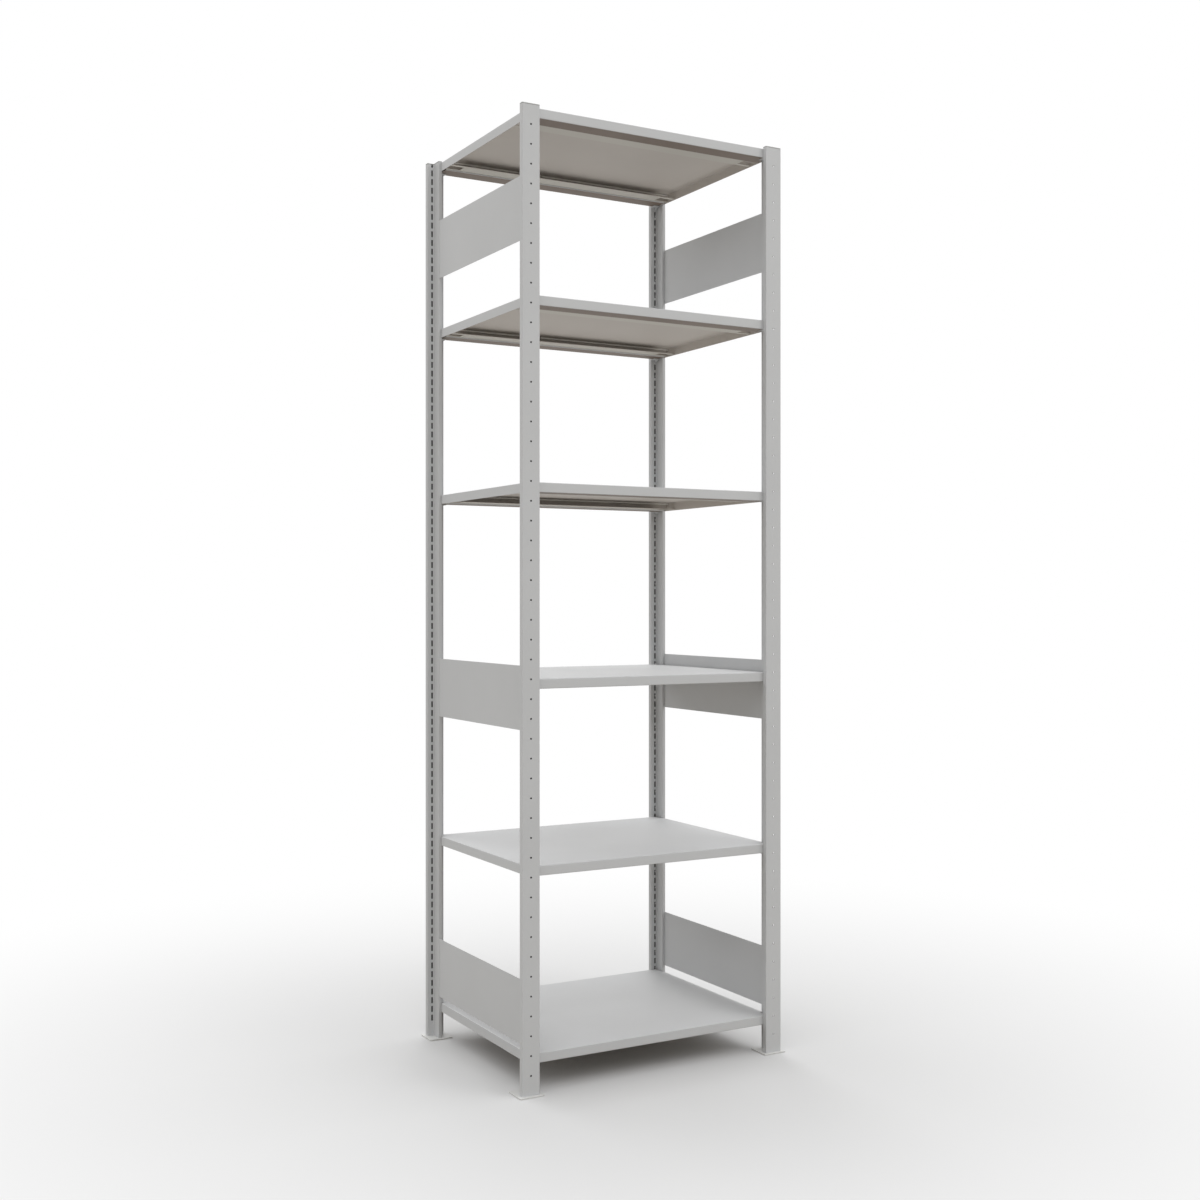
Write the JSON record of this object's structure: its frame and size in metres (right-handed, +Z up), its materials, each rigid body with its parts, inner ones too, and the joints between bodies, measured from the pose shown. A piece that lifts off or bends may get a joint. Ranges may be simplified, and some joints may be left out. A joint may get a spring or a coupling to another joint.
{
  "type": "library shelving bay",
  "caption": "Free-standing double sided library shelving bay in grey powder-coated steel: slotted T-section posts, side panels and lift-off adjustable shelves.",
  "frame": {"origin": "on the floor, under the middle of the bay, at the underside of the foot plates", "axes": "+X along the shelves to the right, +Y from the front to the rear, +Z up"},
  "size_m": [0.82, 0.645, 2.5061],
  "materials": {
    "powder_coat": "satin light grey powder coat",
    "rail_coat": "thin light grey powder coat",
    "foot_steel": "satin light grey powder coat",
    "cap_plastic": "matt moulded grey plastic",
    "clip_steel": "satin light grey powder coat"
  },
  "bodies": {
    "frame": {"post_front_left": "powder_coat", "foot_plate_front_left": "foot_steel", "post_cap_front_left": "cap_plastic", "post_front_right": "powder_coat", "foot_plate_front_right": "foot_steel", "post_cap_front_right": "cap_plastic", "post_rear_left": "powder_coat", "foot_plate_rear_left": "foot_steel", "post_cap_rear_left": "cap_plastic", "post_rear_right": "powder_coat", "foot_plate_rear_right": "foot_steel", "post_cap_rear_right": "cap_plastic", "side_panel_left_bottom": "powder_coat", "side_panel_left_middle": "powder_coat", "side_panel_left_top": "powder_coat", "side_panel_right_bottom": "powder_coat", "side_panel_right_middle": "powder_coat", "side_panel_right_top": "powder_coat", "shelf_1_clip_front_left": "clip_steel", "shelf_1_clip_front_right": "clip_steel", "shelf_1_clip_rear_left": "clip_steel", "shelf_1_clip_rear_right": "clip_steel", "shelf_2_clip_front_left": "clip_steel", "shelf_2_clip_front_right": "clip_steel", "shelf_2_clip_rear_left": "clip_steel", "shelf_2_clip_rear_right": "clip_steel", "shelf_3_clip_front_left": "clip_steel", "shelf_3_clip_front_right": "clip_steel", "shelf_3_clip_rear_left": "clip_steel", "shelf_3_clip_rear_right": "clip_steel", "shelf_4_clip_front_left": "clip_steel", "shelf_4_clip_front_right": "clip_steel", "shelf_4_clip_rear_left": "clip_steel", "shelf_4_clip_rear_right": "clip_steel", "shelf_5_clip_front_left": "clip_steel", "shelf_5_clip_front_right": "clip_steel", "shelf_5_clip_rear_left": "clip_steel", "shelf_5_clip_rear_right": "clip_steel", "shelf_6_clip_front_left": "clip_steel", "shelf_6_clip_front_right": "clip_steel", "shelf_6_clip_rear_left": "clip_steel", "shelf_6_clip_rear_right": "clip_steel"},
    "shelf_body_1": {"shelf_1": "powder_coat", "shelf_1_rail_front": "rail_coat", "shelf_1_rail_rear": "rail_coat"},
    "shelf_body_2": {"shelf_2": "powder_coat", "shelf_2_rail_front": "rail_coat", "shelf_2_rail_rear": "rail_coat"},
    "shelf_body_3": {"shelf_3": "powder_coat", "shelf_3_rail_front": "rail_coat", "shelf_3_rail_rear": "rail_coat"},
    "shelf_body_4": {"shelf_4": "powder_coat", "shelf_4_rail_front": "rail_coat", "shelf_4_rail_rear": "rail_coat"},
    "shelf_body_5": {"shelf_5": "powder_coat", "shelf_5_rail_front": "rail_coat", "shelf_5_rail_rear": "rail_coat"},
    "shelf_body_6": {"shelf_6": "powder_coat", "shelf_6_rail_front": "rail_coat", "shelf_6_rail_rear": "rail_coat"}
  },
  "joints": [
    {"name": "shelf_1_lift", "type": "slide", "parent": "frame", "child": "shelf_body_1", "axis": [0, 0, 1], "range_m": [0, 0.425]},
    {"name": "shelf_2_lift", "type": "slide", "parent": "frame", "child": "shelf_body_2", "axis": [0, 0, 1], "range_m": [0, 0.425]},
    {"name": "shelf_3_lift", "type": "slide", "parent": "frame", "child": "shelf_body_3", "axis": [0, 0, 1], "range_m": [0, 0.425]},
    {"name": "shelf_4_lift", "type": "slide", "parent": "frame", "child": "shelf_body_4", "axis": [0, 0, 1], "range_m": [0, 0.425]},
    {"name": "shelf_5_lift", "type": "slide", "parent": "frame", "child": "shelf_body_5", "axis": [0, 0, 1], "range_m": [0, 0.425]},
    {"name": "shelf_6_lift", "type": "slide", "parent": "frame", "child": "shelf_body_6", "axis": [0, 0, 1], "range_m": [0, 0.12]}
  ]
}
